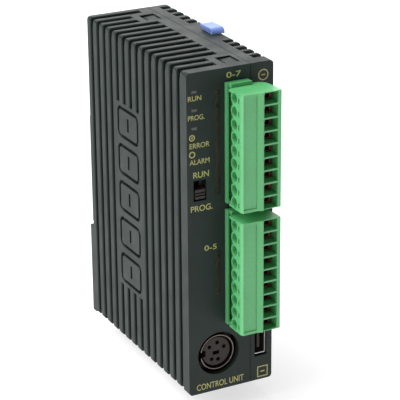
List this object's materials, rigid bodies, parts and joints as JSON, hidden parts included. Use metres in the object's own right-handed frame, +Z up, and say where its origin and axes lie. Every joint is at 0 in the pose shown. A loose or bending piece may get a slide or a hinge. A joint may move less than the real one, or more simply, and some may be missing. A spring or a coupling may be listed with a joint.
{
  "type": "plc module",
  "caption": "Slim rail-mounted programmable controller: ribbed two-shell case, green pull-off screw-terminal plugs, mode switch, tool port, USB socket, blue expansion hooks, rail lever.",
  "frame": {"origin": "centre of the rail seat on the rear face, half way up and half way across the case", "axes": "+X to the right seen from the front, towards the expansion side; +Y out of the rear, towards the rail; +Z up"},
  "size_m": [0.0253, 0.0728, 0.0945],
  "materials": {
    "case_plastic": "fine moulded texture, dark grey-green",
    "terminal_plastic": "satin moulded green",
    "header_plastic": "satin moulded green",
    "contact_metal": "plated contact brass",
    "screw_metal": "plated steel",
    "clamp_metal": "dark plated brass",
    "black_plastic": "matte black",
    "light_guide": "clear light guide",
    "smoked_window": "smoked window",
    "channel_led": "diffused lens",
    "port_insulator": "dark brown moulding",
    "shield_metal": "darkened steel",
    "port_metal": "tin-plated steel",
    "board": "solder mask",
    "chip": "moulded epoxy",
    "relay_case": "off-white moulding",
    "ferrite": "sintered ferrite",
    "winding": "wound wire under tape",
    "capacitor_sleeve": "shrunk sleeve",
    "hook_plastic": "light blue moulding",
    "lever_plastic": "matte black moulding",
    "spring_steel": "bright spring wire"
  },
  "bodies": {
    "housing": {"main_case": "case_plastic", "side_cover": "case_plastic", "lever_guides": "case_plastic", "upper_header": "header_plastic", "lower_header": "header_plastic", "upper_header_pins": "contact_metal", "lower_header_pins": "contact_metal", "tool_port_contacts": "contact_metal", "expansion_contacts": "contact_metal", "power_inlet_pins": "contact_metal", "mode_switch_body": "black_plastic", "usb_tongue": "black_plastic", "board_connector": "black_plastic", "expansion_socket": "black_plastic", "status_light_guides": "light_guide", "status_leds": "light_guide", "input_led_window": "smoked_window", "output_led_window": "smoked_window", "channel_leds": "channel_led", "tool_port_housing": "port_insulator", "tool_port_insert": "port_insulator", "tool_port_shield": "shield_metal", "usb_shell": "port_metal", "crystal": "port_metal", "cpu_board": "board", "power_board": "board", "indicator_board": "board", "processor_chip": "chip", "memory_chips": "chip", "output_relays": "relay_case", "power_inlet": "relay_case", "transformer_core": "ferrite", "fuse": "ferrite", "transformer_winding": "winding", "electrolytic_capacitors": "capacitor_sleeve", "lever_spring": "spring_steel"},
    "mode_switch_knob": {"mode_switch_knob": "black_plastic"},
    "upper_plug": {"upper_plug": "terminal_plastic", "upper_plug_screws": "screw_metal", "upper_plug_clamps": "clamp_metal"},
    "lower_plug": {"lower_plug": "terminal_plastic", "lower_plug_screws": "screw_metal", "lower_plug_clamps": "clamp_metal"},
    "upper_expansion_hook": {"upper_expansion_hook": "hook_plastic"},
    "lower_expansion_hook": {"lower_expansion_hook": "hook_plastic"},
    "din_lever": {"din_lever": "lever_plastic"}
  },
  "joints": [
    {"name": "mode_switch_slide", "type": "slide", "parent": "housing", "child": "mode_switch_knob", "axis": [0, 0, 1], "range_m": [0, 0.002]},
    {"name": "upper_plug_pull", "type": "slide", "parent": "housing", "child": "upper_plug", "axis": [0, -1, 0], "range_m": [0, 0.01]},
    {"name": "lower_plug_pull", "type": "slide", "parent": "housing", "child": "lower_plug", "axis": [0, -1, 0], "range_m": [0, 0.01]},
    {"name": "upper_hook_slide", "type": "slide", "parent": "housing", "child": "upper_expansion_hook", "axis": [0, 0, 1], "range_m": [0, 0.003]},
    {"name": "lower_hook_slide", "type": "slide", "parent": "housing", "child": "lower_expansion_hook", "axis": [0, 0, -1], "range_m": [0, 0.003]},
    {"name": "din_lever_slide", "type": "slide", "parent": "housing", "child": "din_lever", "axis": [0, 0, -1], "range_m": [0, 0.003], "stiffness_N_per_m": 600, "springref_m": -0.003, "deforming": ["lever_spring"]}
  ]
}
